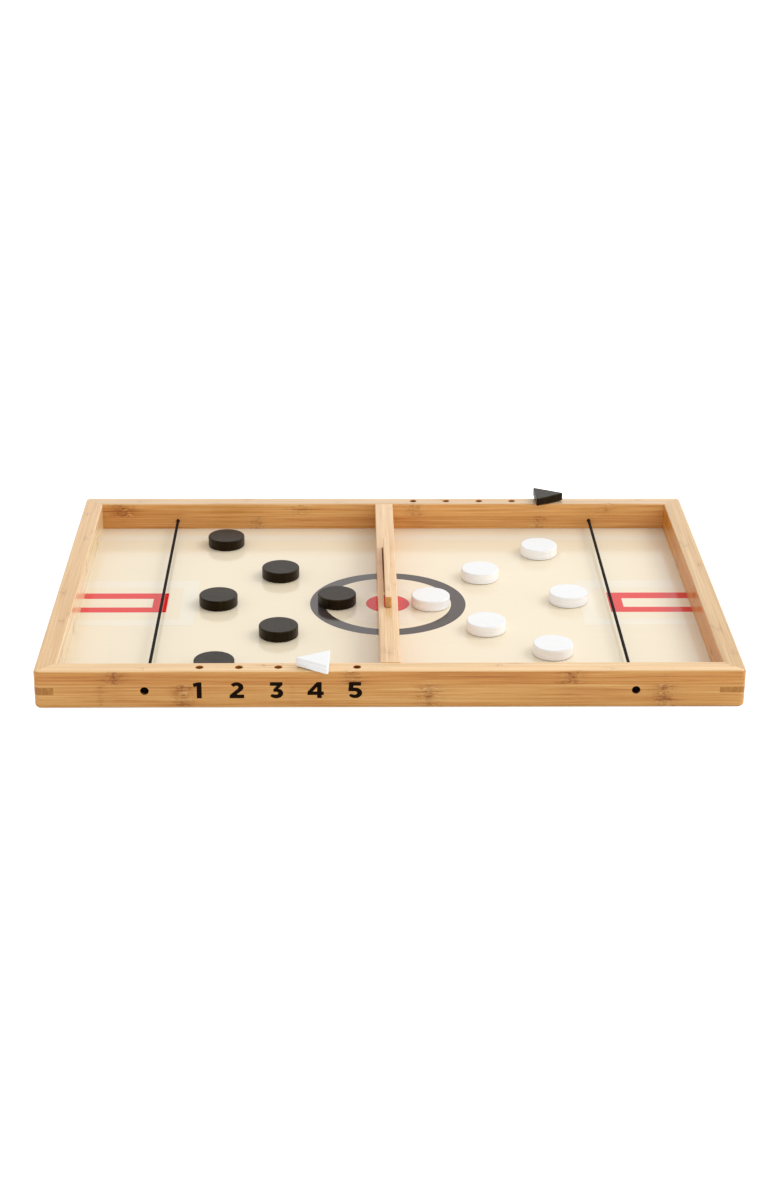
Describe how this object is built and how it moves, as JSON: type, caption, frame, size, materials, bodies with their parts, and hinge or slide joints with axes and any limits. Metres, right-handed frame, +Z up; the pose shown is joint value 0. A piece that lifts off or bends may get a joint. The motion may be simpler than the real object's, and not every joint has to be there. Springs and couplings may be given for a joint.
{
  "type": "tabletop sling-puck board",
  "caption": "Bamboo-framed tabletop shuffle game: printed board, centre divider with a drop-in gate, elastic launching cords, round pucks and triangular score markers.",
  "frame": {"origin": "centre of the frame's footprint, on the plane it stands on", "axes": "+X along the long side towards the white pucks' half, +Y away from the front rail, +Z up"},
  "size_m": [0.55, 0.39, 0.041],
  "materials": {
    "bamboo": "clear satin lacquer over laminated bamboo",
    "key_wood": "clear satin lacquer over darker end grain",
    "dowel_wood": "bare turned wood",
    "board_face": "glossy clear coat over printed wood",
    "elastic": "woven cover over elastic core",
    "black_paint": "satin black paint on wood",
    "white_paint": "satin white paint on wood"
  },
  "bodies": {
    "frame": {"front_rail": "bamboo", "back_rail": "bamboo", "left_rail": "bamboo", "right_rail": "bamboo", "corner_key_front_left": "key_wood", "corner_key_front_right": "key_wood", "corner_key_back_left": "key_wood", "corner_key_back_right": "key_wood", "playing_board": "board_face", "divider_bar": "bamboo", "divider_dowels": "dowel_wood", "cord_knot_front_left": "elastic", "cord_knot_front_right": "elastic", "cord_knot_back_left": "elastic", "cord_knot_back_right": "elastic"},
    "gate_plate": {"gate_plate": "bamboo"},
    "left_cord": {"left_elastic_cord": "elastic"},
    "right_cord": {"right_elastic_cord": "elastic"},
    "white_marker_pin": {"white_marker_pin": "dowel_wood"},
    "white_marker_block": {"white_marker_block": "white_paint"},
    "black_marker_pin": {"black_marker_pin": "dowel_wood"},
    "black_marker_block": {"black_marker_block": "black_paint"},
    "black_puck_1": {"black_puck_1": "black_paint"},
    "black_puck_2": {"black_puck_2": "black_paint"},
    "black_puck_3": {"black_puck_3": "black_paint"},
    "black_puck_4": {"black_puck_4": "black_paint"},
    "black_puck_5": {"black_puck_5": "black_paint"},
    "black_puck_6": {"black_puck_6": "black_paint"},
    "white_puck_1": {"white_puck_1": "white_paint"},
    "white_puck_2": {"white_puck_2": "white_paint"},
    "white_puck_3": {"white_puck_3": "white_paint"},
    "white_puck_4": {"white_puck_4": "white_paint"},
    "white_puck_5": {"white_puck_5": "white_paint"},
    "white_puck_6": {"white_puck_6": "white_paint"}
  },
  "joints": [
    {"name": "gate_plate_lift", "type": "slide", "parent": "frame", "child": "gate_plate", "axis": [0, 0, 1], "range_m": [0, 0.028]},
    {"name": "left_cord_draw", "type": "slide", "parent": "frame", "child": "left_cord", "axis": [-1, 0, 0], "range_m": [-0.004, 0.04], "stiffness_N_per_m": 60, "deforming": ["left_elastic_cord"]},
    {"name": "right_cord_draw", "type": "slide", "parent": "frame", "child": "right_cord", "axis": [1, 0, 0], "range_m": [-0.004, 0.04], "stiffness_N_per_m": 60, "deforming": ["right_elastic_cord"]},
    {"name": "white_marker_lift", "type": "slide", "parent": "frame", "child": "white_marker_pin", "axis": [0, 0, 1], "range_m": [0, 0.016]},
    {"name": "white_marker_turn", "type": "hinge", "parent": "white_marker_pin", "child": "white_marker_block", "pos_m": [-0.0564, -0.18035, 0.0322], "axis": [0, 0, 1], "continuous": true},
    {"name": "black_marker_lift", "type": "slide", "parent": "frame", "child": "black_marker_pin", "axis": [0, 0, 1], "range_m": [0, 0.016]},
    {"name": "black_marker_turn", "type": "hinge", "parent": "black_marker_pin", "child": "black_marker_block", "pos_m": [0.1487, 0.18035, 0.0322], "axis": [0, 0, 1], "continuous": true},
    {"name": "black_puck_1_slide", "type": "slide", "parent": "frame", "child": "black_puck_1", "axis": [1, 0, 0], "range_m": [-0.024, 0.117]},
    {"name": "black_puck_2_slide", "type": "slide", "parent": "frame", "child": "black_puck_2", "axis": [1, 0, 0], "range_m": [-0.075, 0.065]},
    {"name": "black_puck_3_slide", "type": "slide", "parent": "frame", "child": "black_puck_3", "axis": [1, 0, 0], "range_m": [-0.024, 0.066]},
    {"name": "black_puck_4_slide", "type": "slide", "parent": "frame", "child": "black_puck_4", "axis": [1, 0, 0], "range_m": [-0.066, 0.045]},
    {"name": "black_puck_5_slide", "type": "slide", "parent": "frame", "child": "black_puck_5", "axis": [1, 0, 0], "range_m": [-0.077, 0.063]},
    {"name": "black_puck_6_slide", "type": "slide", "parent": "frame", "child": "black_puck_6", "axis": [1, 0, 0], "range_m": [-0.028, 0.113]},
    {"name": "white_puck_1_slide", "type": "slide", "parent": "frame", "child": "white_puck_1", "axis": [1, 0, 0], "range_m": [-0.112, 0.029]},
    {"name": "white_puck_2_slide", "type": "slide", "parent": "frame", "child": "white_puck_2", "axis": [1, 0, 0], "range_m": [-0.056, 0.085]},
    {"name": "white_puck_3_slide", "type": "slide", "parent": "frame", "child": "white_puck_3", "axis": [1, 0, 0], "range_m": [-0.083, 0.013]},
    {"name": "white_puck_4_slide", "type": "slide", "parent": "frame", "child": "white_puck_4", "axis": [1, 0, 0], "range_m": [-0.045, 0.083]},
    {"name": "white_puck_5_slide", "type": "slide", "parent": "frame", "child": "white_puck_5", "axis": [1, 0, 0], "range_m": [-0.055, 0.086]},
    {"name": "white_puck_6_slide", "type": "slide", "parent": "frame", "child": "white_puck_6", "axis": [1, 0, 0], "range_m": [-0.106, 0.035]}
  ]
}
